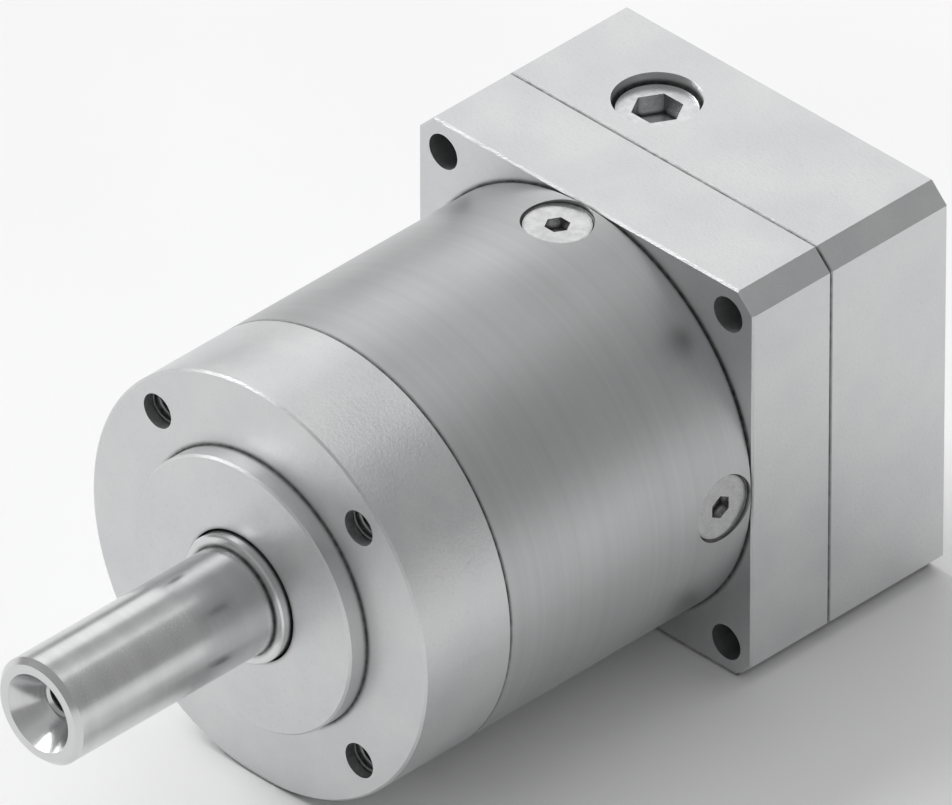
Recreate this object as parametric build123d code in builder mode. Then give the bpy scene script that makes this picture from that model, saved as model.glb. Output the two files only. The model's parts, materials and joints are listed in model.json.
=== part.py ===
from build123d import *
import os
from math import acos, atan, cos, pi, radians, sin, sqrt, tan

# Inline planetary gear reducer of 40 mm frame size, with one 5:1 stage.
# The gearbox axis is the Y axis: the output shaft points towards -Y and the motor is bolted on at +Y.
# +Z is up, on the side of the access plug. The origin is on the axis, in the output mounting face.
# Radii end in _r, and stations are distances along the gearbox axis. Angles start straight up, towards +X.

# Outside
housing_r = 20.0
flange_width = 40.0
flange_corner = 1.82
seam_edge = 0.2
shaft_tip = -26.0
collar_front = -3.0
spigot_front = -2.0
housing_seam = 10.2
flange_front = 39.0
adapter_front = 48.4
rear_face = 62.5

# Output side
shaft_r = 5.0
shaft_seat_r = 6.0
shaft_shoulder_r = 7.0
spigot_r = 13.0
seal_lip_r = 6.2
seal_bore_r = 10.0
seal_front = -1.2
seal_end = 1.8
seal_case_r = 9.1
seal_wall = 0.8
seal_lip_play = 0.03
spring_circle_r = 7.32
spring_wire_r = 0.3
bolt_circle_r = 17.0
bolt_core_r = 1.65
bolt_thread_r = 2.0
bolt_mouth = 1.0
bolt_depth = 6.0
centre_mouth_r = 3.65
centre_hole_r = 2.0
centre_cone_depth = (centre_mouth_r - centre_hole_r) / tan(radians(30))
centre_thread_end = -13.0
drill_point = 1.0

# Bearings: bore radius, outside radius, width, land radii, ball circle, ball radius, number of balls
output_bearing = dict(bore=6.0, outside=12.0, width=6.0, inner_land=7.9, outer_land=10.1, circle=9.0,
                      ball=1.5875, count=11)
input_bearing = dict(bore=5.0, outside=9.5, width=5.0, inner_land=6.35, outer_land=8.15, circle=7.25,
                     ball=1.19, count=11)
front_bearing_start = 3.0
rear_bearing_start = 11.8
input_bearing_start = 41.0
race_play = 0.0625
bearing_edge = 0.25
shield = 0.25
shield_play = 0.1
inner_spacer_r = 7.4
outer_spacer_r = 10.6

# Joints between the housings
register_r = 16.0
register_play = 0.02
output_register_end = 20.0
input_register_front = 32.2
register_hollow_r = 11.5
o_ring_r = 0.49
o_ring_groove = 1.4
o_ring_floor_r = 15.0
o_ring_circle_r = register_r - 0.5
front_web = 0.6
front_o_ring_station = 13.7
rear_o_ring_station = 33.3
adapter_register_r = 14.5
adapter_register_depth = 1.5

# Screws
radial_screw_station = 35.66
radial_screw_face_r = 19.5
radial_screw_length = 8.0
radial_head_r = 3.0
radial_thread_r = 1.5
radial_clearance = 0.2
countersink_depth = 5.0
small_socket = 2.0
radial_socket_depth = 1.1
corner_hole_pitch = 34.0
corner_hole_r = 1.7
adapter_screw_circle_r = 12.6
adapter_screw_angles = (30, 150, 270)
adapter_screw_seat = 52.0
small_head_r = 2.25
small_head_height = 2.5
small_thread_r = 1.25
small_screw_length = 8.0
thread_play = 0.02
screw_clearance = 0.1

# Gear set: the ring gear is fixed, and the ratio is 1 + ring_teeth / sun_teeth = 5
gear_module = 0.6
pressure_angle = radians(25)
sun_teeth = 12
planet_teeth = 18
ring_teeth = sun_teeth + 2 * planet_teeth
planet_count = 3
addendum = gear_module
dedendum = 1.25 * gear_module
flank_play = 0.03
planet_circle_r = gear_module * (sun_teeth + planet_teeth) / 2
ring_teeth_start = 20.4
ring_teeth_end = 32.0
planet_start = 23.42
planet_end = 30.58
sun_start = 23.5
sun_end = 31.0

# Planet carrier
carrier_r = 13.3
carrier_start = 20.2
carrier_end = 23.0
carrier_edge = 0.4
lightening_r = 2.0
lightening_circle_r = 9.6
washer = 0.4
washer_r = 3.9
pin_r = 2.0
pin_sink = 0.2
pin_groove = 0.3
pin_end = 31.7
clip_r = 3.0
clip_mouth = 2.2
clip_thickness = 0.4
planet_bore_r = 3.0
needle_r = 0.485
needle_count = 14
needle_end_play = 0.3

# Input side
neck_r = 3.5
input_shoulder_r = 5.75
hub_r = 4.8
hub_end = 58.4
hub_bore_r = 3.0
hub_bore_start = 40.6
hub_slot = 0.8
hub_slot_start = 49.5
hub_edge = 0.3
input_shoulder = 1.0
cavity_r = 10.8
pilot_r = 15.0
pilot_depth = 3.0
pilot_edge = 0.3
clamp_r = 9.7
clamp_width = 7.0
clamp_slit = 1.0
clamp_screw_x = -6.68
clamp_station = 54.4
clamp_seat_z = 2.0
plug_r = 4.0
plug_recess = 1.0
plug_length = 5.0
plug_socket = 4.0
plug_socket_depth = 2.0
access_r = 3.25
access_floor_z = 3.0
plug_play = 0.05
plug_edge = 0.35
drill_run_out = 0.5

# Circlips: inner and outer radius, thickness, lug radius, radius of the lugs' circle, gap
circlip_groove = 0.25
circlip_play = 0.02
shaft_circlip = dict(inner=shaft_seat_r - circlip_groove, outer=7.6, thickness=1.0, lug=1.0, lug_circle=8.0,
                     gap=1.2)
housing_circlip = dict(inner=10.6, outer=12.58, thickness=1.2, lug=1.2, lug_circle=10.0, gap=2.0)
input_shaft_circlip = dict(inner=hub_r + circlip_play, outer=6.2, thickness=1.0, lug=0.75, lug_circle=5.85,
                           gap=1.2)
input_flange_circlip = dict(inner=8.35, outer=9.93, thickness=1.0, lug=0.85, lug_circle=8.2, gap=1.6)

os.makedirs("parts", exist_ok=True)


def across(station):
    """The plane square to the gearbox axis at a station: local x is up, local y is +X."""
    return Plane(origin=(0, station, 0), x_dir=(0, 0, 1), z_dir=(0, 1, 0))


def radial(angle, station, radius):
    """The plane that faces away from the axis at an angle, a station and a radius: local x is +Y."""
    out = (sin(radians(angle)), 0, cos(radians(angle)))
    return Plane(origin=(radius * out[0], station, radius * out[2]), x_dir=(0, 1, 0), z_dir=out)


def turned(*outline, mode=Mode.ADD):
    """Turn a closed outline of (radius, station) points about the gearbox axis."""
    with BuildSketch(Plane.XY) as profile:
        with BuildLine():
            Polyline(*outline, close=True)
        make_face()
    revolve(profile.sketch, axis=Axis.Y, mode=mode)


def ring(inner_r, outer_r, start, end, mode=Mode.ADD):
    """A plain ring about the gearbox axis, between two stations."""
    turned((inner_r, start), (outer_r, start), (outer_r, end), (inner_r, end), mode=mode)


def bores(radius, start, end, spots):
    """Bore the same hole along the gearbox axis at each (angle, circle radius) in spots."""
    with BuildSketch(across(start)) as holes:
        for angle, circle_r in spots:
            with PolarLocations(circle_r, 1, start_angle=angle):
                Circle(radius)
    extrude(holes.sketch, amount=end - start, mode=Mode.SUBTRACT)


def torus(circle_r, wire_r, station, mode=Mode.ADD):
    """A round ring of wire about the gearbox axis."""
    with BuildSketch(Plane.XY) as profile:
        with Locations((circle_r, station)):
            Circle(wire_r)
    revolve(profile.sketch, axis=Axis.Y, mode=mode)


def circlip_groove_about(circlip, bore_r, start):
    """Cut a bearing bore's groove for a circlip."""
    ring(bore_r - circlip_groove, circlip["outer"] + circlip_play, start, start + circlip["thickness"],
         mode=Mode.SUBTRACT)


def o_ring_groove_about(station):
    """Cut the groove for an O-ring round a register."""
    ring(o_ring_floor_r, register_r + o_ring_r, station - o_ring_groove / 2, station + o_ring_groove / 2,
         mode=Mode.SUBTRACT)


def hex_socket(plane, across_flats, depth):
    """Sink a hexagon socket, with two of its flats square to the plane's local x."""
    with BuildSketch(plane) as hexagon:
        RegularPolygon(across_flats / 2, 6, major_radius=False, rotation=30)
    extrude(hexagon.sketch, amount=-depth, mode=Mode.SUBTRACT)


def cap_screw(plane, head_r, head_height, shank_r, length, across_flats):
    """A socket cap screw whose head stands on a plane, with its shank below."""
    with BuildSketch(plane) as head:
        Circle(head_r)
    extrude(head.sketch, amount=head_height)
    with BuildSketch(plane) as shank:
        Circle(shank_r)
    extrude(shank.sketch, amount=-length)
    hex_socket(plane.offset(head_height), across_flats, head_height / 2)


def finish(piece, name):
    """Label a finished piece and write it."""
    piece.part.label = name
    export_step(piece.part, f"parts/{name}.step")


# ---------------------------------------------------------------- housings

SCREW_ANGLES = (0, 90, 180, 270)
PLANET_ANGLES = [360 / planet_count * turn for turn in range(planet_count)]
BOLT_SPOTS = [(angle, bolt_circle_r) for angle in (45, 135, 225, 315)]
CORNER_SPOTS = [(angle, corner_hole_pitch / sqrt(2)) for angle in (45, 135, 225, 315)]
ADAPTER_SPOTS = [(angle, adapter_screw_circle_r) for angle in adapter_screw_angles]
register_fit_r = register_r - register_play

with BuildPart() as output_housing:
    turned(
        (seal_lip_r, spigot_front),
        (spigot_r - seam_edge, spigot_front),
        (spigot_r, spigot_front + seam_edge),
        (spigot_r, 0),
        (housing_r - seam_edge, 0),
        (housing_r, seam_edge),
        (housing_r, housing_seam - seam_edge),
        (housing_r - seam_edge, housing_seam),
        (register_fit_r, housing_seam),
        (register_fit_r, output_register_end),
        (output_bearing["outside"], output_register_end),
        (output_bearing["outside"], front_bearing_start),
        (seal_bore_r, front_bearing_start),
        (seal_bore_r, seal_front),
        (seal_lip_r, seal_front),
    )
    rear_bearing_end = rear_bearing_start + output_bearing["width"]
    circlip_groove_about(housing_circlip, output_bearing["outside"], rear_bearing_end)
    o_ring_groove_about(front_o_ring_station)
    bores(bolt_core_r, 0, bolt_mouth, BOLT_SPOTS)
    bores(bolt_thread_r, bolt_mouth, bolt_depth, BOLT_SPOTS)
    bores(bolt_core_r, bolt_depth, bolt_depth + drill_point, BOLT_SPOTS)
finish(output_housing, "output_housing")


def gear_face(teeth, root_r, tip_r, play, turn):
    """A gear's cross-section. play thins each flank, and turn is the angle of its first tooth."""
    pitch_r = gear_module * teeth / 2
    base_r = pitch_r * cos(pressure_angle)
    half_tooth = pi / (2 * teeth) - play / pitch_r + tan(pressure_angle) - pressure_angle
    flank_foot_r = max(root_r, base_r)

    def flank(centre, side):
        """The points of one flank, from its foot to its tip."""
        points = []
        for step in range(6):
            radius = flank_foot_r + (tip_r - flank_foot_r) * step / 5
            roll = tan(acos(base_r / radius))
            angle = centre + side * (half_tooth - (roll - atan(roll)))
            points.append((radius * cos(angle), radius * sin(angle)))
        return points

    def at(radius, angle):
        return (radius * cos(angle), radius * sin(angle))

    with BuildSketch() as face:
        with BuildLine():
            for tooth in range(teeth):
                centre = turn + 2 * pi * tooth / teeth
                rise = flank(centre, -1)
                fall = flank(centre, 1)[::-1]
                next_rise = flank(centre + 2 * pi / teeth, -1)
                foot_angle = half_tooth if root_r < base_r else None
                Spline(*rise)
                ThreePointArc(rise[-1], at(tip_r, centre), fall[0])
                Spline(*fall)
                middle = centre + pi / teeth
                if foot_angle is None:
                    ThreePointArc(fall[-1], at(root_r, middle), next_rise[0])
                else:
                    root_out = at(root_r, centre + foot_angle)
                    root_in = at(root_r, centre + 2 * pi / teeth - foot_angle)
                    Line(fall[-1], root_out)
                    ThreePointArc(root_out, at(root_r, middle), root_in)
                    Line(root_in, next_rise[0])
        make_face()
    return face.sketch


ring_pitch_r = gear_module * ring_teeth / 2
planet_pitch_r = gear_module * planet_teeth / 2
sun_pitch_r = gear_module * sun_teeth / 2

with BuildPart() as ring_gear_housing:
    turned(
        (register_r, housing_seam),
        (housing_r - seam_edge, housing_seam),
        (housing_r, housing_seam + seam_edge),
        (housing_r, flange_front - seam_edge),
        (housing_r - seam_edge, flange_front),
        (register_r, flange_front),
        (register_r, ring_teeth_end),
        (ring_pitch_r - addendum, ring_teeth_end),
        (ring_pitch_r - addendum, ring_teeth_start),
        (register_r, ring_teeth_start),
    )
    tooth_spaces = gear_face(ring_teeth, ring_pitch_r - addendum, ring_pitch_r + dedendum, -flank_play,
                             pi / ring_teeth)
    extrude(across(ring_teeth_start) * tooth_spaces, amount=ring_teeth_end - ring_teeth_start,
            mode=Mode.SUBTRACT)
    for angle in SCREW_ANGLES:
        with Locations(radial(angle, radial_screw_station, radial_screw_face_r)):
            CounterSinkHole(radial_thread_r + radial_clearance, radial_head_r + seam_edge,
                            depth=countersink_depth, counter_sink_angle=90)
            Cylinder(radial_head_r + seam_edge, 2 * (housing_r - radial_screw_face_r),
                     align=(Align.CENTER, Align.CENTER, Align.MIN), mode=Mode.SUBTRACT)
finish(ring_gear_housing, "ring_gear_housing")


def square_block(start, end):
    """A square block with chamfered corners and broken edges at both ends."""
    with BuildSketch(across(start)) as outline:
        Rectangle(flange_width, flange_width)
        chamfer(outline.vertices(), flange_corner)
    extrude(outline.sketch, amount=end - start)


with BuildPart() as input_flange:
    square_block(flange_front, adapter_front)
    chamfer(input_flange.faces().sort_by(Axis.Y)[-1].edges(), seam_edge)
    chamfer(input_flange.faces().sort_by(Axis.Y)[0].edges(), seam_edge)
    ring(0, register_fit_r, input_register_front, flange_front)
    ring(0, adapter_register_r - register_play, adapter_front, adapter_front + adapter_register_depth)
    input_bearing_end = input_bearing_start + input_bearing["width"]
    ring(0, register_hollow_r, input_register_front, flange_front - front_web, mode=Mode.SUBTRACT)
    ring(0, input_bearing["outer_land"], flange_front - front_web, input_bearing_start,
         mode=Mode.SUBTRACT)
    ring(0, input_bearing["outside"], input_bearing_start, adapter_front + adapter_register_depth,
         mode=Mode.SUBTRACT)
    circlip_groove_about(input_flange_circlip, input_bearing["outside"], input_bearing_end)
    o_ring_groove_about(rear_o_ring_station)
    bores(corner_hole_r, flange_front, adapter_front, CORNER_SPOTS)
    bores(small_thread_r, adapter_screw_seat - small_screw_length - drill_run_out,
          adapter_front + adapter_register_depth, ADAPTER_SPOTS)
    for angle in SCREW_ANGLES:
        with Locations(radial(angle, radial_screw_station, register_r)):
            Hole(radial_thread_r, depth=register_r - register_hollow_r + drill_run_out)
finish(input_flange, "input_flange")

with BuildPart() as motor_adapter:
    square_block(adapter_front, rear_face)
    chamfer(motor_adapter.faces().sort_by(Axis.Y)[-1].edges(), seam_edge)
    chamfer(motor_adapter.faces().sort_by(Axis.Y)[0].edges(), seam_edge)
    pilot_floor = rear_face - pilot_depth
    adapter_register_end = adapter_front + adapter_register_depth
    ring(0, adapter_register_r, adapter_front, adapter_register_end, mode=Mode.SUBTRACT)
    ring(0, cavity_r, adapter_register_end, pilot_floor, mode=Mode.SUBTRACT)
    turned((0, pilot_floor), (pilot_r, pilot_floor), (pilot_r, rear_face - pilot_edge),
           (pilot_r + pilot_edge, rear_face), (0, rear_face), mode=Mode.SUBTRACT)
    bores(corner_hole_r, adapter_front, rear_face, CORNER_SPOTS)
    bores(small_thread_r + screw_clearance, adapter_register_end, adapter_screw_seat, ADAPTER_SPOTS)
    bores(small_head_r + screw_clearance, adapter_screw_seat, pilot_floor, ADAPTER_SPOTS)
    access_top = Plane(origin=(clamp_screw_x, clamp_station, flange_width / 2), x_dir=(0, 1, 0),
                       z_dir=(0, 0, 1))
    with Locations(access_top):
        Hole(plug_r, depth=plug_recess + plug_length + drill_run_out)
        Hole(access_r, depth=flange_width / 2 - access_floor_z)
finish(motor_adapter, "motor_adapter")

with BuildPart() as access_plug:
    plug_top = access_top.offset(-plug_recess)
    with BuildSketch(plug_top):
        Circle(plug_r - plug_play)
    extrude(amount=-plug_length)
    chamfer(access_plug.edges().filter_by(GeomType.CIRCLE), plug_edge)
    hex_socket(plug_top, plug_socket, plug_socket_depth)
finish(access_plug, "access_plug")

# ---------------------------------------------------------------- seals

with BuildPart() as output_seal:
    turned(
        (shaft_seat_r + 0.8, seal_front),
        (seal_bore_r, seal_front),
        (seal_bore_r, seal_end),
        (seal_case_r, seal_end),
        (seal_case_r, seal_front + seal_wall),
        (7.5, seal_front + seal_wall),
        (7.5, seal_front + 1.1),
        (7.0, seal_front + 1.4),
        (7.0, seal_front + 2.1),
        (7.4, seal_front + 2.4),
        (7.0, seal_end - 0.1),
        (shaft_seat_r + 0.4, seal_end - 0.1),
        (shaft_seat_r + seal_lip_play, seal_front + 1.9),
        (shaft_seat_r + 0.5, seal_front + 1.1),
    )
finish(output_seal, "output_seal")

with BuildPart() as seal_garter_spring:
    torus(spring_circle_r, spring_wire_r, seal_front + 1.75)
finish(seal_garter_spring, "seal_garter_spring")

with BuildPart() as front_o_ring:
    torus(o_ring_circle_r, o_ring_r, front_o_ring_station)
finish(front_o_ring, "front_o_ring")

with BuildPart() as rear_o_ring:
    torus(o_ring_circle_r, o_ring_r, rear_o_ring_station)
finish(rear_o_ring, "rear_o_ring")

# ---------------------------------------------------------------- bearings


def make_bearing(name, size, start):
    """A deep groove ball bearing: two rings, its balls, their cage and two shields."""
    end = start + size["width"]
    middle = (start + end) / 2
    groove_r = size["ball"] + race_play

    with BuildPart() as inner_ring:
        turned(
            (size["bore"], start + bearing_edge),
            (size["bore"] + bearing_edge, start),
            (size["inner_land"], start),
            (size["inner_land"], end),
            (size["bore"] + bearing_edge, end),
            (size["bore"], end - bearing_edge),
        )
        torus(size["circle"], groove_r, middle, mode=Mode.SUBTRACT)
    finish(inner_ring, f"{name}_inner_ring")

    with BuildPart() as outer_ring:
        turned(
            (size["outer_land"], start),
            (size["outside"] - bearing_edge, start),
            (size["outside"], start + bearing_edge),
            (size["outside"], end - bearing_edge),
            (size["outside"] - bearing_edge, end),
            (size["outer_land"], end),
        )
        torus(size["circle"], groove_r, middle, mode=Mode.SUBTRACT)
    finish(outer_ring, f"{name}_outer_ring")

    with BuildPart() as balls:
        with Locations(across(middle)):
            with PolarLocations(size["circle"], size["count"]):
                Sphere(size["ball"])
    finish(balls, f"{name}_balls")

    cage_half = size["ball"] * 0.45
    cage_reach = size["ball"] * 1.15
    with BuildPart() as cage:
        ring(size["circle"] - cage_half, size["circle"] + cage_half, middle - cage_reach,
             middle + cage_reach)
        for ball in range(size["count"]):
            with Locations(radial(360 / size["count"] * ball, middle, size["circle"])):
                Cylinder(groove_r, 4 * cage_half, mode=Mode.SUBTRACT)
    finish(cage, f"{name}_cage")

    with BuildPart() as shields:
        for shield_start in (start + shield_play, end - shield_play - shield):
            ring(size["inner_land"] + shield_play, size["outer_land"], shield_start,
                 shield_start + shield)
    finish(shields, f"{name}_shields")


make_bearing("output_bearing_front", output_bearing, front_bearing_start)
make_bearing("output_bearing_rear", output_bearing, rear_bearing_start)
make_bearing("input_bearing", input_bearing, input_bearing_start)

spacer_start = front_bearing_start + output_bearing["width"]

with BuildPart() as bearing_inner_spacer:
    ring(shaft_seat_r, inner_spacer_r, spacer_start, rear_bearing_start)
finish(bearing_inner_spacer, "bearing_inner_spacer")

with BuildPart() as bearing_outer_spacer:
    ring(outer_spacer_r, output_bearing["outside"], spacer_start, rear_bearing_start)
finish(bearing_outer_spacer, "bearing_outer_spacer")

# ---------------------------------------------------------------- circlips


def make_circlip(name, size, start):
    """A retaining ring with a gap between two lugs, each with a hole for pliers."""
    lug_angle = 180 / pi * (size["gap"] / 2 + size["lug"]) / size["lug_circle"]
    with BuildPart() as circlip:
        with BuildSketch(across(start)) as outline:
            Circle(size["outer"])
            Circle(size["inner"], mode=Mode.SUBTRACT)
            with Locations((-size["lug_circle"], 0)):
                Rectangle(3 * size["lug"], size["gap"], mode=Mode.SUBTRACT)
            for side in (-1, 1):
                with PolarLocations(size["lug_circle"], 1, start_angle=180 + side * lug_angle):
                    Circle(size["lug"])
                    Circle(0.4 * size["lug"], mode=Mode.SUBTRACT)
        extrude(outline.sketch, amount=size["thickness"])
    finish(circlip, name)


shaft_circlip_start = front_bearing_start - shaft_circlip["thickness"]
make_circlip("shaft_circlip", shaft_circlip, shaft_circlip_start)
make_circlip("housing_circlip", housing_circlip, rear_bearing_end)
make_circlip("input_shaft_circlip", input_shaft_circlip, input_bearing_end)
make_circlip("input_flange_circlip", input_flange_circlip, input_bearing_end)

# ---------------------------------------------------------------- output shaft and carrier

with BuildPart() as output_shaft:
    tip_edge = 0.5
    collar_edge = 0.15
    shaft_end_edge = 0.3
    turned(
        (centre_mouth_r, shaft_tip),
        (shaft_r - tip_edge, shaft_tip),
        (shaft_r, shaft_tip + tip_edge),
        (shaft_r, collar_front),
        (shaft_seat_r - collar_edge, collar_front),
        (shaft_seat_r, collar_front + collar_edge),
        (shaft_seat_r, shaft_circlip_start),
        (shaft_seat_r - circlip_groove, shaft_circlip_start),
        (shaft_seat_r - circlip_groove, front_bearing_start),
        (shaft_seat_r, front_bearing_start),
        (shaft_seat_r, rear_bearing_end),
        (shaft_shoulder_r, rear_bearing_end),
        (shaft_shoulder_r, carrier_start),
        (shaft_r, carrier_start),
        (shaft_r, carrier_end - shaft_end_edge),
        (shaft_r - shaft_end_edge, carrier_end),
        (0, carrier_end),
        (0, centre_thread_end + drill_point),
        (bolt_core_r, centre_thread_end),
        (centre_hole_r, centre_thread_end),
        (centre_hole_r, shaft_tip + centre_cone_depth),
    )
finish(output_shaft, "output_shaft")

with BuildPart() as planet_carrier:
    turned(
        (shaft_r, carrier_start),
        (carrier_r - carrier_edge, carrier_start),
        (carrier_r, carrier_start + carrier_edge),
        (carrier_r, carrier_end - carrier_edge),
        (carrier_r - carrier_edge, carrier_end),
        (shaft_r, carrier_end),
    )
    bores(pin_r, carrier_start, carrier_end, [(angle, planet_circle_r) for angle in PLANET_ANGLES])
    bores(lightening_r, carrier_start, carrier_end,
          [(angle + 180 / planet_count, lightening_circle_r) for angle in PLANET_ANGLES])
finish(planet_carrier, "planet_carrier")


def on_planets(station):
    """The three planet positions on the plane across the axis at a station."""
    centres = [radial(angle, station, planet_circle_r).origin for angle in PLANET_ANGLES]
    return [Plane(origin=centre, x_dir=(0, 0, 1), z_dir=(0, 1, 0)) for centre in centres]


clip_start = planet_end + (planet_start - carrier_end)

with BuildPart() as planet_pins:
    pin_start = carrier_start + pin_sink
    for plane in on_planets(pin_start):
        with BuildSketch(plane) as pin:
            Circle(pin_r)
        extrude(pin.sketch, amount=pin_end - pin_start)
    for plane in on_planets(clip_start):
        with BuildSketch(plane) as groove:
            Circle(pin_r + pin_groove)
            Circle(pin_r - pin_groove, mode=Mode.SUBTRACT)
        extrude(groove.sketch, amount=clip_thickness, mode=Mode.SUBTRACT)
finish(planet_pins, "planet_pins")


def make_washers(name, start):
    """The three thrust washers on one side of the planets."""
    with BuildPart() as washers:
        for plane in on_planets(start):
            with BuildSketch(plane) as disc:
                Circle(washer_r)
                Circle(pin_r, mode=Mode.SUBTRACT)
            extrude(disc.sketch, amount=washer)
    finish(washers, name)


make_washers("front_thrust_washers", carrier_end)
make_washers("rear_thrust_washers", clip_start - washer)

with BuildPart() as pin_clips:
    for plane in on_planets(clip_start):
        with BuildSketch(plane) as clip:
            Circle(clip_r)
            Circle(pin_r - pin_groove, mode=Mode.SUBTRACT)
            with Locations((-clip_r, 0)):
                Rectangle(2 * pin_r, clip_mouth, mode=Mode.SUBTRACT)
        extrude(clip.sketch, amount=clip_thickness)
finish(pin_clips, "pin_clips")

# ---------------------------------------------------------------- planets

planet_face = gear_face(planet_teeth, planet_pitch_r - dedendum, planet_pitch_r + addendum, flank_play,
                        pi / planet_teeth)

for number, plane in enumerate(on_planets(planet_start), 1):
    with BuildPart() as planet_gear:
        extrude(plane * planet_face, amount=planet_end - planet_start)
        with BuildSketch(plane) as bore:
            Circle(planet_bore_r)
        extrude(bore.sketch, amount=planet_end - planet_start, mode=Mode.SUBTRACT)
    finish(planet_gear, f"planet_gear_{number}")

    with BuildPart() as needle_rollers:
        with BuildSketch(plane.offset(needle_end_play)) as needles:
            with PolarLocations((pin_r + planet_bore_r) / 2, needle_count):
                Circle(needle_r)
        extrude(needles.sketch, amount=planet_end - planet_start - 2 * needle_end_play)
    finish(needle_rollers, f"needle_rollers_{number}")

# ---------------------------------------------------------------- input shaft and clamp

sun_face = gear_face(sun_teeth, sun_pitch_r - dedendum, sun_pitch_r + addendum, flank_play, 0)

with BuildPart() as input_shaft:
    extrude(across(sun_start) * sun_face, amount=sun_end - sun_start)
    turned(
        (0, sun_end),
        (neck_r, sun_end),
        (neck_r, input_bearing_start - input_shoulder),
        (input_shoulder_r, input_bearing_start - input_shoulder),
        (input_shoulder_r, input_bearing_start),
        (input_bearing["bore"], input_bearing_start),
        (input_bearing["bore"], input_bearing_end),
        (hub_r, input_bearing_end),
        (hub_r, hub_end - hub_edge),
        (hub_r - hub_edge, hub_end),
        (hub_bore_r + hub_edge, hub_end),
        (hub_bore_r, hub_end - hub_edge),
        (hub_bore_r, hub_bore_start),
        (0, hub_bore_start),
    )
    with BuildSketch(across(hub_slot_start)) as slots:
        Rectangle(3 * hub_r, hub_slot)
        Rectangle(hub_slot, 3 * hub_r)
    extrude(slots.sketch, amount=hub_end - hub_slot_start, mode=Mode.SUBTRACT)
finish(input_shaft, "input_shaft")

with BuildPart() as clamping_ring:
    clamp_start = clamp_station - clamp_width / 2
    clamp_end = clamp_station + clamp_width / 2
    clamp_edge = 0.3
    turned(
        (hub_r, clamp_start),
        (clamp_r - clamp_edge, clamp_start),
        (clamp_r, clamp_start + clamp_edge),
        (clamp_r, clamp_end - clamp_edge),
        (clamp_r - clamp_edge, clamp_end),
        (hub_r, clamp_end),
    )
    with BuildSketch(across(clamp_start)) as slit:
        with Locations((0, -clamp_r)):
            Rectangle(clamp_slit, 2 * clamp_r)
    extrude(slit.sketch, amount=clamp_width, mode=Mode.SUBTRACT)
    clamp_seat = Plane(origin=(clamp_screw_x, clamp_station, clamp_seat_z), x_dir=(0, 1, 0),
                       z_dir=(0, 0, 1))
    with Locations(clamp_seat):
        Cylinder(small_head_r + 2 * screw_clearance, clamp_r,
                 align=(Align.CENTER, Align.CENTER, Align.MIN), mode=Mode.SUBTRACT)
        Hole(small_thread_r + screw_clearance, depth=clamp_seat_z)
        Hole(small_thread_r, depth=clamp_r + clamp_seat_z)
finish(clamping_ring, "clamping_ring")

# ---------------------------------------------------------------- screws

with BuildPart() as clamping_screw:
    cap_screw(clamp_seat, small_head_r, small_head_height, small_thread_r - thread_play,
              small_screw_length, small_socket)
finish(clamping_screw, "clamping_screw")

with BuildPart() as adapter_screws:
    for angle in adapter_screw_angles:
        spot = radial(angle, adapter_screw_seat, adapter_screw_circle_r).origin
        cap_screw(Plane(origin=spot, x_dir=(0, 0, 1), z_dir=(0, 1, 0)), small_head_r,
                  small_head_height, small_thread_r - thread_play, small_screw_length, small_socket)
finish(adapter_screws, "adapter_screws")

with BuildPart() as radial_screws:
    for angle in SCREW_ANGLES:
        face = radial(angle, radial_screw_station, radial_screw_face_r)
        head_height = radial_head_r - radial_thread_r
        with BuildSketch(face) as head:
            Circle(radial_head_r)
        extrude(head.sketch, amount=-head_height, taper=45)
        with BuildSketch(face) as shank:
            Circle(radial_thread_r - thread_play)
        extrude(shank.sketch, amount=-radial_screw_length)
        hex_socket(face, small_socket, radial_socket_depth)
finish(radial_screws, "radial_screws")
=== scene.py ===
import json
import math

import bmesh
import bpy
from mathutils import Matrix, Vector


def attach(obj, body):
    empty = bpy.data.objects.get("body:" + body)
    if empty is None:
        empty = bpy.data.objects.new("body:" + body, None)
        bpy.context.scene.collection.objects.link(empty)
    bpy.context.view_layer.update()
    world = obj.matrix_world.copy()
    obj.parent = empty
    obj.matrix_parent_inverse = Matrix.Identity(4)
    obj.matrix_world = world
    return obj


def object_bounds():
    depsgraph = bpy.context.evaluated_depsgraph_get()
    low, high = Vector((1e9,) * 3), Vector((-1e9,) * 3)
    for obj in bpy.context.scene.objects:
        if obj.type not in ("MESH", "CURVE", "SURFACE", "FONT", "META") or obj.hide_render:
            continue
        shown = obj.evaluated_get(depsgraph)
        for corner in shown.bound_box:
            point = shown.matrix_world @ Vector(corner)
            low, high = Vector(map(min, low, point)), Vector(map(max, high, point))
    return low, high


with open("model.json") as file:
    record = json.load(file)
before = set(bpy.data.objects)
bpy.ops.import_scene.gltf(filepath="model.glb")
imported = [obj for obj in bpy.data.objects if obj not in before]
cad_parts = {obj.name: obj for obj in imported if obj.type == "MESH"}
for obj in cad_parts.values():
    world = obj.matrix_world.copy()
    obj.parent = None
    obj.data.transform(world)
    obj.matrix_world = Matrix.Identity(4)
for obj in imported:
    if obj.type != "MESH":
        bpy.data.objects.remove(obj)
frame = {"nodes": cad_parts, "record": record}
cad_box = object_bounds()

# The object's axis is Y, with its output shaft towards -Y and +Z up. MM turns millimetres into metres.
MM = 0.001
NODES = frame["nodes"]


# ---------------------------------------------------------------- shader recipes


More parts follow.
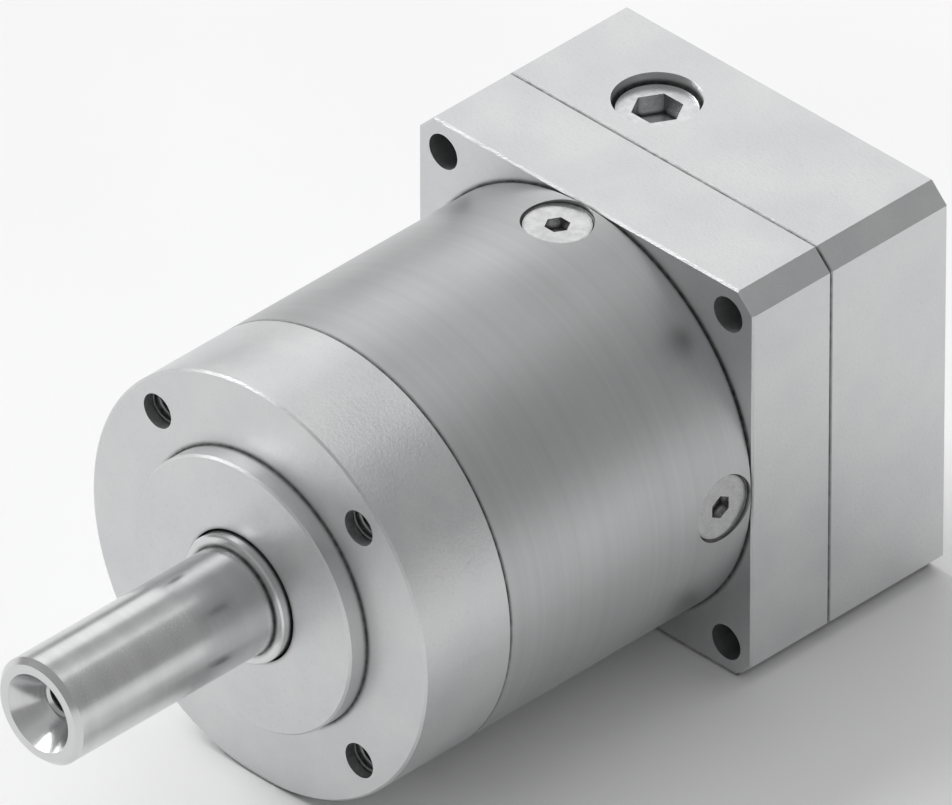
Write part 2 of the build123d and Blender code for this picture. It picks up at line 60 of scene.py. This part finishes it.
class Recipe:
    """A material's node tree, with a short call for each kind of node that the recipes use."""

    def __init__(self, name):
        self.material = bpy.data.materials.new(name)
        self.material.use_nodes = True
        self.tree = self.material.node_tree
        self.tree.nodes.clear()
        metres = self.node("ShaderNodeTexCoord").outputs["Object"]
        scaled = self.node("ShaderNodeVectorMath", {0: metres, "Scale": 1 / MM}, operation="SCALE")
        self.place = scaled.outputs["Vector"]

    def node(self, kind, inputs=None, **settings):
        """Add a node. inputs maps each socket to a value, or to the output that feeds it."""
        made = self.tree.nodes.new(kind)
        for key, value in settings.items():
            setattr(made, key, value)
        for key, value in (inputs or {}).items():
            if isinstance(value, bpy.types.NodeSocket):
                self.tree.links.new(value, made.inputs[key])
            else:
                made.inputs[key].default_value = value
        return made

    def math(self, operation, first, second, clamp=False):
        inputs = {0: first, 1: second}
        return self.node("ShaderNodeMath", inputs, operation=operation, use_clamp=clamp).outputs[0]

    def split(self, vector):
        return self.node("ShaderNodeSeparateXYZ", {0: vector}).outputs

    def join(self, x, y, z):
        return self.node("ShaderNodeCombineXYZ", {0: x, 1: y, 2: z}).outputs[0]

    def noise(self, scale, detail=3.0, place=None, roughness=0.55, distortion=0.0):
        """Noise from 0 to 1. scale is in grains per millimetre."""
        inputs = {
            "Vector": place or self.place,
            "Scale": scale,
            "Detail": detail,
            "Roughness": roughness,
            "Distortion": distortion,
        }
        return self.node("ShaderNodeTexNoise", inputs).outputs["Fac"]

    def spread(self, factor, low, high, out_low=0.0, out_high=1.0):
        """Stretch a value from low..high to out_low..out_high."""
        inputs = {0: factor, 1: low, 2: high, 3: out_low, 4: out_high}
        return self.node("ShaderNodeMapRange", inputs, clamp=True).outputs[0]

    def blend(self, factor, first, second):
        """A colour between two colours. The mix node takes its factor at 0 and its colours at 6 and 7."""
        return self.node("ShaderNodeMix", {0: factor, 6: first, 7: second}, data_type="RGBA").outputs[2]

    def round_place(self, around, along):
        """Coordinates that run out from the gearbox axis and along it, as a lathe tool does."""
        x, y, z = self.split(self.place)
        across = self.join(x, 0.0, z)
        radius = self.node("ShaderNodeVectorMath", {0: across}, operation="LENGTH").outputs["Value"]
        return self.join(self.math("MULTIPLY", radius, around), self.math("MULTIPLY", y, along), 0.0)

    def edges(self, width):
        """1 along edges and 0 on flat surfaces, from how far a rounded normal leans."""
        soft = self.node("ShaderNodeBevel", {"Radius": width * MM}, samples=6).outputs[0]
        flat = self.node("ShaderNodeNewGeometry").outputs["Normal"]
        lean = self.node("ShaderNodeVectorMath", {0: soft, 1: flat}, operation="DOT_PRODUCT")
        return self.spread(lean.outputs["Value"], 0.995, 0.80)

    def shade_and_grime(self, reach):
        """A mask from ambient occlusion, 0 on open surfaces and up to 1 in seams, holes and inner corners:
        painted shade where these hollows fall into shadow, and grime where dust and oil settle.
        """
        open_sky = self.node("ShaderNodeAmbientOcclusion", {"Distance": reach * MM}, samples=8).outputs["AO"]
        streaks = self.spread(self.noise(1.6, detail=3.0), 0.3, 0.7, 0.65, 0.90)
        return self.math("MULTIPLY", self.spread(open_sky, 0.94, 0.62), streaks)

    def bump(self, height, depth, under=None):
        """Bump from a height of 0 to 1 that is depth millimetres deep."""
        inputs = {"Height": height, "Strength": 1.0, "Distance": depth * MM}
        if under is not None:
            inputs["Normal"] = under
        return self.node("ShaderNodeBump", inputs).outputs[0]

    def surface(self, inputs, **constants):
        """Finish with a Principled surface. constants are set on its own sockets."""
        shader = self.node("ShaderNodeBsdfPrincipled", inputs)
        for key, value in constants.items():
            shader.inputs[key.replace("_", " ")].default_value = value
        self.node("ShaderNodeOutputMaterial", {"Surface": shader.outputs[0]})
        return self.material


def grey(level, tint=0.0):
    """A grey colour, cooler with a positive tint and warmer with a negative one."""
    return (level * (1 - tint), level, level * (1 + tint), 1.0)


# The near-black painted into seams, holes and inner corners: painted shade, with some grime.
SHADE_AND_GRIME_GREY = grey(0.03, -0.05)


def blasted_aluminium(name, level):
    """Bead-blasted and clear anodised aluminium: a fine grain, faint clouds, and brighter edges."""
    recipe = Recipe(name)
    grain = recipe.noise(9.0, detail=2.0)
    pits = recipe.noise(3.2, detail=4.0)
    clouds = recipe.noise(0.12, detail=3.0)
    edge = recipe.edges(0.16)
    base = recipe.blend(recipe.spread(clouds, 0.35, 0.65), grey(level * 0.92, 0.014), grey(level, 0.004))
    base = recipe.blend(recipe.spread(pits, 0.30, 0.44, 0.22, 0.0), base, grey(level * 0.70))
    base = recipe.blend(recipe.math("MULTIPLY", edge, 0.4), base, grey(min(level * 1.14, 0.96)))
    # Painted shade, partly grime: seams, holes and inner corners are darkened towards near-black by ambient
    # occlusion.
    shade_and_grime = recipe.shade_and_grime(0.55)
    base = recipe.blend(shade_and_grime, base, SHADE_AND_GRIME_GREY)
    rough = recipe.math("ADD", recipe.spread(clouds, 0.3, 0.7, 0.36, 0.44),
                        recipe.spread(grain, 0.3, 0.7, -0.04, 0.05))
    rough = recipe.math("SUBTRACT", rough, recipe.math("MULTIPLY", edge, 0.12))
    rough = recipe.math("ADD", rough, recipe.math("MULTIPLY", shade_and_grime, 0.4), clamp=True)
    normal = recipe.bump(grain, 0.012, recipe.bump(pits, 0.022))
    return recipe.surface({"Base Color": base, "Roughness": rough, "Normal": normal}, Metallic=1.0)


def turned_metal(name, level, tint, rough_range, line_depth, feed):
    """Lathe-turned metal: fine tool marks round the axis, with a broad drift of tone between them.
    feed is the number of marks per millimetre."""
    recipe = Recipe(name)
    marks = recipe.noise(1.0, detail=2.0, place=recipe.round_place(feed, feed))
    bands = recipe.noise(1.0, detail=3.0, place=recipe.round_place(0.9, 0.9))
    clouds = recipe.noise(0.10, detail=3.0)
    dust = recipe.noise(7.0, detail=2.0)
    edge = recipe.edges(0.14)
    base = recipe.blend(recipe.spread(bands, 0.35, 0.65), grey(level * 0.93, tint), grey(level, tint))
    base = recipe.blend(recipe.spread(marks, 0.35, 0.65, 0.0, 0.22), base, grey(level * 0.80, tint))
    base = recipe.blend(recipe.math("MULTIPLY", edge, 0.4), base, grey(min(level * 1.2, 0.95), tint))
    # Painted shade, partly grime: seams, holes and inner corners are darkened towards near-black by ambient
    # occlusion.
    shade_and_grime = recipe.shade_and_grime(0.55)
    base = recipe.blend(shade_and_grime, base, SHADE_AND_GRIME_GREY)
    low, high = rough_range
    rough = recipe.math("ADD", recipe.spread(clouds, 0.3, 0.7, low, high),
                        recipe.spread(marks, 0.3, 0.7, -0.05, 0.05))
    rough = recipe.math("ADD", rough, recipe.spread(dust, 0.55, 0.75, 0.0, 0.05))
    rough = recipe.math("ADD", rough, recipe.math("MULTIPLY", shade_and_grime, 0.4), clamp=True)
    normal = recipe.bump(marks, line_depth)
    tangent = recipe.node("ShaderNodeTangent", direction_type="RADIAL", axis="Y").outputs[0]
    inputs = {"Base Color": base, "Roughness": rough, "Normal": normal, "Tangent": tangent}
    return recipe.surface(inputs, Metallic=1.0, Anisotropic=0.45)


def plain_steel(name, level, tint, rough_range, grain_depth):
    """Small steel parts, barrel finished: a soft grain, faint stains and polished edges."""
    recipe = Recipe(name)
    grain = recipe.noise(11.0, detail=2.0)
    stains = recipe.noise(1.3, detail=4.0)
    edge = recipe.edges(0.08)
    base = recipe.blend(recipe.spread(stains, 0.35, 0.70), grey(level, tint), grey(level * 0.85, tint * 0.5))
    base = recipe.blend(recipe.math("MULTIPLY", edge, 0.6), base, grey(min(level * 1.35 + 0.08, 0.95)))
    # Painted shade, partly grime: seams, holes and inner corners are darkened towards near-black by ambient
    # occlusion.
    shade_and_grime = recipe.shade_and_grime(0.5)
    base = recipe.blend(shade_and_grime, base, SHADE_AND_GRIME_GREY)
    low, high = rough_range
    rough = recipe.math("ADD", recipe.spread(stains, 0.3, 0.7, low, high),
                        recipe.spread(grain, 0.3, 0.7, -0.03, 0.04))
    rough = recipe.math("ADD", rough, recipe.math("MULTIPLY", shade_and_grime, 0.4), clamp=True)
    normal = recipe.bump(grain, grain_depth)
    return recipe.surface({"Base Color": base, "Roughness": rough, "Normal": normal}, Metallic=1.0)


def rubber(name):
    """Matt nitrile rubber with a mould grain and a bloom of dust."""
    recipe = Recipe(name)
    grain = recipe.noise(8.0, detail=3.0)
    bloom = recipe.noise(0.9, detail=4.0)
    base = recipe.blend(recipe.spread(bloom, 0.45, 0.75), grey(0.022), grey(0.055))
    rough = recipe.spread(bloom, 0.3, 0.7, 0.55, 0.75)
    normal = recipe.bump(grain, 0.015)
    return recipe.surface({"Base Color": base, "Roughness": rough, "Normal": normal})


def polyamide(name):
    """Glass-filled polyamide of a bearing cage: warm, cloudy and finely pitted."""
    recipe = Recipe(name)
    fibres = recipe.noise(6.0, detail=4.0, distortion=0.8)
    clouds = recipe.noise(0.7, detail=2.0)
    base = recipe.blend(recipe.spread(clouds, 0.3, 0.7), (0.50, 0.36, 0.19, 1.0), (0.60, 0.45, 0.26, 1.0))
    base = recipe.blend(recipe.spread(fibres, 0.5, 0.8, 0.0, 0.3), base, (0.72, 0.60, 0.42, 1.0))
    rough = recipe.spread(fibres, 0.3, 0.7, 0.40, 0.60)
    normal = recipe.bump(fibres, 0.012)
    return recipe.surface({"Base Color": base, "Roughness": rough, "Normal": normal})


MATERIALS = {
    "anodised_aluminium": blasted_aluminium("anodised_aluminium", 0.68),
    "turned_steel": turned_metal("turned_steel", 0.54, 0.010, (0.33, 0.42), 0.0045, 10.0),
    "ground_steel": turned_metal("ground_steel", 0.70, 0.006, (0.17, 0.24), 0.0016, 16.0),
    "gear_steel": plain_steel("gear_steel", 0.42, 0.015, (0.30, 0.40), 0.004),
    "bearing_steel": plain_steel("bearing_steel", 0.72, 0.008, (0.10, 0.16), 0.001),
    "spring_steel": plain_steel("spring_steel", 0.22, 0.020, (0.35, 0.45), 0.004),
    "screw_steel": plain_steel("screw_steel", 0.62, 0.004, (0.22, 0.30), 0.003),
    "plug_steel": plain_steel("plug_steel", 0.66, 0.014, (0.24, 0.32), 0.003),
    "seal_rubber": rubber("seal_rubber"),
    "cage_polymer": polyamide("cage_polymer"),
}


def wear_slots():
    """Give each carried-over node the material of its record slot."""
    for entry in frame["record"]["subparts"]:
        mesh = NODES[entry["node"]].data
        mesh.materials.clear()
        mesh.materials.append(MATERIALS[entry["material_slot"]])


# ---------------------------------------------------------------- threads

THREAD_CREST = 1.65
THREAD_ROOT = 1.96
THREAD_PITCH = 0.7
SLEEVE_R = 1.99
THREAD_MOUTH = 1.0
HOLE_THREAD = 4.98
CENTRE_THREAD_START = -23.14
CENTRE_THREAD = 10.1


def thread_radius(turns):
    """The radius of an M4 nut thread at a place in its pitch: flat crest, flank, flat root, flank."""
    place = turns % 1.0
    if place < 0.20:
        return THREAD_CREST
    if place < 0.55:
        return THREAD_CREST + (THREAD_ROOT - THREAD_CREST) * (place - 0.20) / 0.35
    if place < 0.65:
        return THREAD_ROOT
    return THREAD_ROOT - (THREAD_ROOT - THREAD_CREST) * (place - 0.65) / 0.35


def thread_point(depth, part, length):
    """A point of the thread's surface, at a depth and a part of a turn, kept between the flat ends."""
    depth = min(max(depth, 0.0), length)
    radius = thread_radius(depth / THREAD_PITCH + part)
    angle = 2 * math.pi * part
    return (radius * math.sin(angle), depth, radius * math.cos(angle))


def nut_thread(name, start, length, body):
    """The M4 thread of a hole as a closed sleeve, from the point start, length millimetres along +Y.
    Each row of its inner mesh climbs with the helix, so that crest and root have crisp edges."""
    around, steps = 80, 20
    spokes = around + 1
    rows = math.ceil((length / THREAD_PITCH + 1) * steps) + 1
    turns = [spoke / around for spoke in range(spokes)]
    points = [thread_point(THREAD_PITCH * (row / steps - part), part, length)
              for row in range(rows) for part in turns]
    for depth in (length, 0.0):
        points += [(SLEEVE_R * math.sin(2 * math.pi * part), depth, SLEEVE_R * math.cos(2 * math.pi * part))
                   for part in turns]

    loops = rows + 2
    faces = []
    for row in range(loops):
        near, far = row * spokes, (row + 1) % loops * spokes
        faces += [(near + spoke, near + spoke + 1, far + spoke + 1, far + spoke) for spoke in range(around)]

    mesh = bpy.data.meshes.new(name)
    mesh.from_pydata([Vector(point) * MM + Vector(start) for point in points], [], faces)
    edit = bmesh.new()
    edit.from_mesh(mesh)
    bmesh.ops.remove_doubles(edit, verts=edit.verts, dist=0.0005 * MM)
    bmesh.ops.dissolve_degenerate(edit, edges=edit.edges, dist=0.0002 * MM)
    bmesh.ops.recalc_face_normals(edit, faces=edit.faces)
    edit.to_mesh(mesh)
    edit.free()
    piece = bpy.data.objects.new(name, mesh)
    bpy.context.scene.collection.objects.link(piece)
    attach(piece, body)
    return piece


def cut_threads():
    """The threads of the four output holes and of the shaft's centre hole."""
    mounts = {mount["name"]: mount for mount in frame["record"]["mounts"]}
    bolts = mounts["output_bolts"]["dims"]
    for number in range(bolts["count"]):
        angle = 2 * math.pi * (number + 0.5) / bolts["count"]
        out = bolts["pcd_mm"] / 2 * MM
        start = (out * math.sin(angle), THREAD_MOUTH * MM, out * math.cos(angle))
        piece = nut_thread(f"output_thread_{number + 1}", start, HOLE_THREAD, "housing")
        piece.data.materials.append(MATERIALS["anodised_aluminium"])
    start = (0.0, CENTRE_THREAD_START * MM, 0.0)
    piece = nut_thread("shaft_thread", start, CENTRE_THREAD, "output")
    piece.data.materials.append(MATERIALS["ground_steel"])


# ---------------------------------------------------------------- stage


def look_from(thing, place, target):
    """Put a light or a camera at a place, facing a target, with +Z up."""
    thing.location = place
    thing.rotation_mode = "QUATERNION"
    thing.rotation_quaternion = (Vector(place) - Vector(target)).to_track_quat("Z", "Y")


def softbox(name, place, size, power, target):
    """A square soft light that shows in reflections."""
    light = bpy.data.lights.new(name, "AREA")
    light.shape = "RECTANGLE"
    light.size, light.size_y = size
    light.energy = power
    lamp = bpy.data.objects.new(name, light)
    bpy.context.scene.collection.objects.link(lamp)
    look_from(lamp, place, target)
    lamp.visible_camera = False


def key_light(place, strength, spread, target):
    """A far soft light, which lights the floor evenly. spread is how wide it looks, in degrees."""
    light = bpy.data.lights.new("key", "SUN")
    light.energy, light.angle = strength, math.radians(spread)
    lamp = bpy.data.objects.new("key", light)
    bpy.context.scene.collection.objects.link(lamp)
    look_from(lamp, place, target)


def studio(middle):
    """Plain soft studio light: a key from the upper left, a light over the top, a fill and a back light."""
    key_light(middle + Vector((-0.50, -0.10, 0.46)), 2.1, 32.0, middle)
    softbox("over", middle + Vector((-0.05, 0.10, 0.55)), (0.50, 0.30), 0.45, middle)
    softbox("fill", middle + Vector((0.55, -0.10, 0.16)), (0.30, 0.40), 0.10, middle)
    softbox("back", middle + Vector((-0.38, 0.38, 0.34)), (0.40, 0.30), 0.32, middle)


# The grey of the surroundings at each height, from straight down at 0 to straight up at 1. The horizon
# is halfway, and matches the floor.
SURROUNDINGS = (
    (0.0, 0.77),
    (0.53, 0.77),
    (0.56, 0.34),
    (0.80, 0.38),
    (0.90, 0.45),
    (0.94, 0.55),
    (1.0, 0.55),
)


def surroundings():
    """A plain grey room that the metal reflects."""
    world = bpy.data.worlds.new("studio")
    bpy.context.scene.world = world
    world.use_nodes = True
    tree = world.node_tree
    tree.nodes.clear()
    place = tree.nodes.new("ShaderNodeTexCoord")
    split = tree.nodes.new("ShaderNodeSeparateXYZ")
    height = tree.nodes.new("ShaderNodeMapRange")
    height.inputs["From Min"].default_value = -1.0
    ramp = tree.nodes.new("ShaderNodeValToRGB")
    background = tree.nodes.new("ShaderNodeBackground")
    output = tree.nodes.new("ShaderNodeOutputWorld")
    tree.links.new(place.outputs["Generated"], split.inputs[0])
    tree.links.new(split.outputs["Z"], height.inputs[0])
    tree.links.new(height.outputs[0], ramp.inputs[0])
    tree.links.new(ramp.outputs[0], background.inputs[0])
    tree.links.new(background.outputs[0], output.inputs[0])

    stops = ramp.color_ramp.elements
    stops.remove(stops[1])
    for position, level in SURROUNDINGS:
        stop = stops.new(position) if position else stops[0]
        stop.position = position
        stop.color = grey(level)


def floor(height):
    """A plain pale floor that reaches past every view."""
    reach = 8.0
    mesh = bpy.data.meshes.new("floor")
    corners = [(-reach, -reach, height), (reach, -reach, height), (reach, reach, height),
               (-reach, reach, height)]
    mesh.from_pydata(corners, [], [(0, 1, 2, 3)])
    plane = bpy.data.objects.new("floor", mesh)
    bpy.context.scene.collection.objects.link(plane)
    recipe = Recipe("floor")
    clouds = recipe.noise(0.02, detail=2.0)
    base = recipe.blend(recipe.spread(clouds, 0.3, 0.7), grey(0.86), grey(0.89))
    rough = recipe.spread(clouds, 0.3, 0.7, 0.75, 0.85)
    mesh.materials.append(recipe.surface({"Base Color": base, "Roughness": rough}))


def camera():
    """An isometric view, from in front of the shaft and above its +X side. The long lens keeps parallel
    edges parallel."""
    lens, sensor, width_shown = 1200.0, 36.0, 80.55 * MM
    aim = Vector((0.0, 25.93, 5.95)) * MM
    data = bpy.data.cameras.new("camera")
    data.lens, data.sensor_width = lens, sensor
    data.clip_start, data.clip_end = 0.1, 100.0
    lens_camera = bpy.data.objects.new("camera", data)
    bpy.context.scene.collection.objects.link(lens_camera)
    away = Vector((1.0, -1.0, 1.0)).normalized()
    look_from(lens_camera, aim + away * (width_shown * lens / sensor), aim)
    bpy.context.scene.camera = lens_camera


# ---------------------------------------------------------------- the scene

wear_slots()
cut_threads()
low, high = cad_box
middle = (low + high) / 2
camera()
studio(middle)
surroundings()
floor(low.z)
bpy.context.scene.view_settings.view_transform = "Standard"
